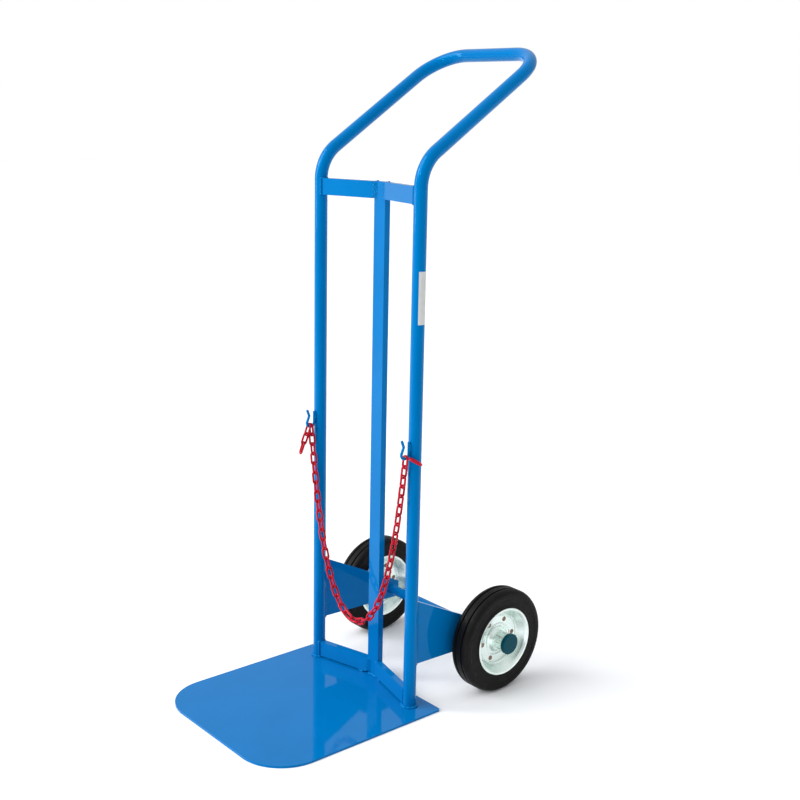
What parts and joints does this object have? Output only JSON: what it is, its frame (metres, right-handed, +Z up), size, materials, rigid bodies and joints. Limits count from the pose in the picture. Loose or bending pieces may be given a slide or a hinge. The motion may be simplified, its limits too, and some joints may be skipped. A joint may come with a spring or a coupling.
{
  "type": "gas cylinder trolley",
  "caption": "Hand trolley for a gas cylinder: bent tube frame, toe plate, V-shaped stays, retaining chain on hooks and rubber-tyred wheels on a fixed axle.",
  "frame": {"origin": "on the floor, on the underside of the toe plate, midway between the centre lines of the two uprights", "axes": "+X to the right of somebody facing the open front, +Y back towards the wheels, +Z up along the uprights"},
  "size_m": [0.4276, 0.6403, 1.1864],
  "materials": {
    "frame_paint": "gloss blue enamel over steel",
    "chain_paint": "gloss red coating on steel chain",
    "zinc_sheet": "zinc-plated pressed sheet, slightly green",
    "rivet_steel": "rust-tinted rivet heads",
    "bright_steel": "bright turned or plated steel",
    "tyre_rubber": "solid black rubber, satin",
    "cap_plastic": "teal moulded plastic",
    "cage_plastic": "natural nylon",
    "label_film": "blank white film, satin"
  },
  "bodies": {
    "frame": {"frame_tube": "frame_paint", "toe_plate": "frame_paint", "centre_post": "frame_paint", "upper_left_stay": "frame_paint", "upper_right_stay": "frame_paint", "lower_left_stay": "frame_paint", "lower_right_stay": "frame_paint", "left_bracket": "frame_paint", "right_bracket": "frame_paint", "axle": "frame_paint", "left_hook": "frame_paint", "right_hook": "frame_paint", "foot_welds": "frame_paint", "bracket_welds": "frame_paint", "hook_welds": "frame_paint", "label": "label_film", "left_inner_washer": "bright_steel", "right_inner_washer": "bright_steel", "left_outer_washer": "bright_steel", "right_outer_washer": "bright_steel", "left_split_pin": "bright_steel", "right_split_pin": "bright_steel", "chain_end_link": "chain_paint"},
    "left_wheel": {"left_tyre": "tyre_rubber", "left_outer_disc": "zinc_sheet", "left_inner_disc": "zinc_sheet", "left_rivets": "rivet_steel", "left_hub": "zinc_sheet", "left_bearing_cage": "cage_plastic", "left_bearing_rollers": "bright_steel", "left_hub_cap": "cap_plastic"},
    "right_wheel": {"right_tyre": "tyre_rubber", "right_outer_disc": "zinc_sheet", "right_inner_disc": "zinc_sheet", "right_rivets": "rivet_steel", "right_hub": "zinc_sheet", "right_bearing_cage": "cage_plastic", "right_bearing_rollers": "bright_steel", "right_hub_cap": "cap_plastic"},
    "chain": {"chain_flat_links": "chain_paint", "chain_cross_links": "chain_paint", "chain_tail": "chain_paint"}
  },
  "joints": [
    {"name": "left_wheel_spin", "type": "hinge", "parent": "frame", "child": "left_wheel", "pos_m": [-0.1755, 0.184, 0.1], "axis": [1, 0, 0], "continuous": true},
    {"name": "right_wheel_spin", "type": "hinge", "parent": "frame", "child": "right_wheel", "pos_m": [0.1755, 0.184, 0.1], "axis": [1, 0, 0], "continuous": true},
    {"name": "chain_swing", "type": "hinge", "parent": "frame", "child": "chain", "pos_m": [0, -0.023, 0.4895], "axis": [-1, 0, 0], "range_deg": [0, 35]}
  ]
}
